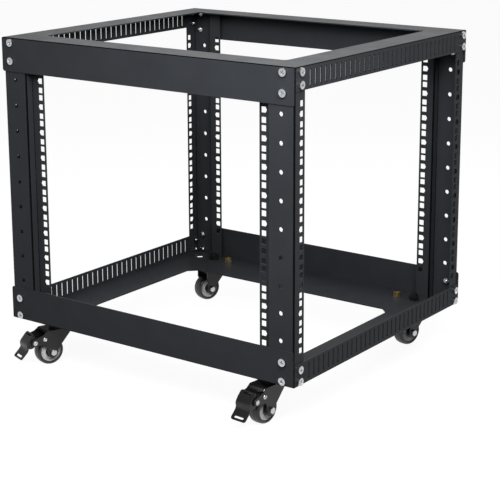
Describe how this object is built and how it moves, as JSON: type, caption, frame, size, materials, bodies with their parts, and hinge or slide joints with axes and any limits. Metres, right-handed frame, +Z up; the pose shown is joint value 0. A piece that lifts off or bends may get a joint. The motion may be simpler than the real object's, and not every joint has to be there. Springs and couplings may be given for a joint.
{
  "type": "four post open frame rack",
  "caption": "Low open frame equipment rack: two slotted rings of folded sheet joined by square-hole posts, on swivel casters with brake pedals at the front.",
  "frame": {"origin": "on the floor, under the middle of the frame", "axes": "+X to the right seen from the front, +Y from the front to the rear, +Z up"},
  "size_m": [0.604, 0.5839, 0.578],
  "materials": {
    "powder_coat": "satin",
    "black_steel": "semi-gloss",
    "yellow_zinc": "satin",
    "zinc": "satin",
    "black_plastic": "satin",
    "grey_plastic": "satin",
    "tyre": "matte"
  },
  "bodies": {
    "rack": {"top_frame": "powder_coat", "bottom_frame": "powder_coat", "post_front_left": "powder_coat", "foot_nut_front_left": "yellow_zinc", "stem_nut_front_left": "black_steel", "caster_stem_front_left": "black_steel", "post_front_right": "powder_coat", "foot_nut_front_right": "yellow_zinc", "stem_nut_front_right": "black_steel", "caster_stem_front_right": "black_steel", "post_rear_left": "powder_coat", "foot_nut_rear_left": "yellow_zinc", "stem_nut_rear_left": "black_steel", "caster_stem_rear_left": "black_steel", "post_rear_right": "powder_coat", "foot_nut_rear_right": "yellow_zinc", "stem_nut_rear_right": "black_steel", "caster_stem_rear_right": "black_steel"},
    "swivel_front_left": {"caster_fork_front_left": "black_steel", "caster_axle_front_left": "zinc", "brake_pin_front_left": "zinc"},
    "wheel_front_left": {"wheel_hub_front_left": "black_plastic", "wheel_rim_front_left": "grey_plastic", "wheel_tyre_front_left": "tyre"},
    "pedal_front_left": {"brake_pedal_front_left": "black_steel"},
    "swivel_front_right": {"caster_fork_front_right": "black_steel", "caster_axle_front_right": "zinc", "brake_pin_front_right": "zinc"},
    "wheel_front_right": {"wheel_hub_front_right": "black_plastic", "wheel_rim_front_right": "grey_plastic", "wheel_tyre_front_right": "tyre"},
    "pedal_front_right": {"brake_pedal_front_right": "black_steel"},
    "swivel_rear_left": {"caster_fork_rear_left": "black_steel", "caster_axle_rear_left": "zinc"},
    "wheel_rear_left": {"wheel_hub_rear_left": "black_plastic", "wheel_rim_rear_left": "grey_plastic", "wheel_tyre_rear_left": "tyre"},
    "swivel_rear_right": {"caster_fork_rear_right": "black_steel", "caster_axle_rear_right": "zinc"},
    "wheel_rear_right": {"wheel_hub_rear_right": "black_plastic", "wheel_rim_rear_right": "grey_plastic", "wheel_tyre_rear_right": "tyre"}
  },
  "joints": [
    {"name": "swivel_turn_front_left", "type": "hinge", "parent": "rack", "child": "swivel_front_left", "pos_m": [-0.231, -0.229, 0.065], "axis": [0, 0, 1], "continuous": true},
    {"name": "wheel_roll_front_left", "type": "hinge", "parent": "swivel_front_left", "child": "wheel_front_left", "pos_m": [-0.23716, -0.24591, 0.025], "axis": [0.9397, -0.342, 0], "continuous": true},
    {"name": "pedal_press_front_left", "type": "hinge", "parent": "swivel_front_left", "child": "pedal_front_left", "pos_m": [-0.24879, -0.27786, 0.048], "axis": [0.9397, -0.342, 0], "range_deg": [0, 15]},
    {"name": "swivel_turn_front_right", "type": "hinge", "parent": "rack", "child": "swivel_front_right", "pos_m": [0.231, -0.229, 0.065], "axis": [0, 0, 1], "continuous": true},
    {"name": "wheel_roll_front_right", "type": "hinge", "parent": "swivel_front_right", "child": "wheel_front_right", "pos_m": [0.22943, -0.24693, 0.025], "axis": [0.9962, -0.0872, 0], "continuous": true},
    {"name": "pedal_press_front_right", "type": "hinge", "parent": "swivel_front_right", "child": "pedal_front_right", "pos_m": [0.22647, -0.2808, 0.048], "axis": [0.9962, -0.0872, 0], "range_deg": [0, 15]},
    {"name": "swivel_turn_rear_left", "type": "hinge", "parent": "rack", "child": "swivel_rear_left", "pos_m": [-0.231, 0.229, 0.065], "axis": [0, 0, 1], "continuous": true},
    {"name": "wheel_roll_rear_left", "type": "hinge", "parent": "swivel_rear_left", "child": "wheel_rear_left", "pos_m": [-0.23686, 0.21198, 0.025], "axis": [0.9455, -0.3256, 0], "continuous": true},
    {"name": "swivel_turn_rear_right", "type": "hinge", "parent": "rack", "child": "swivel_rear_right", "pos_m": [0.231, 0.229, 0.065], "axis": [0, 0, 1], "continuous": true},
    {"name": "wheel_roll_rear_right", "type": "hinge", "parent": "swivel_rear_right", "child": "wheel_rear_right", "pos_m": [0.22634, 0.21161, 0.025], "axis": [0.9659, -0.2588, 0], "continuous": true}
  ]
}
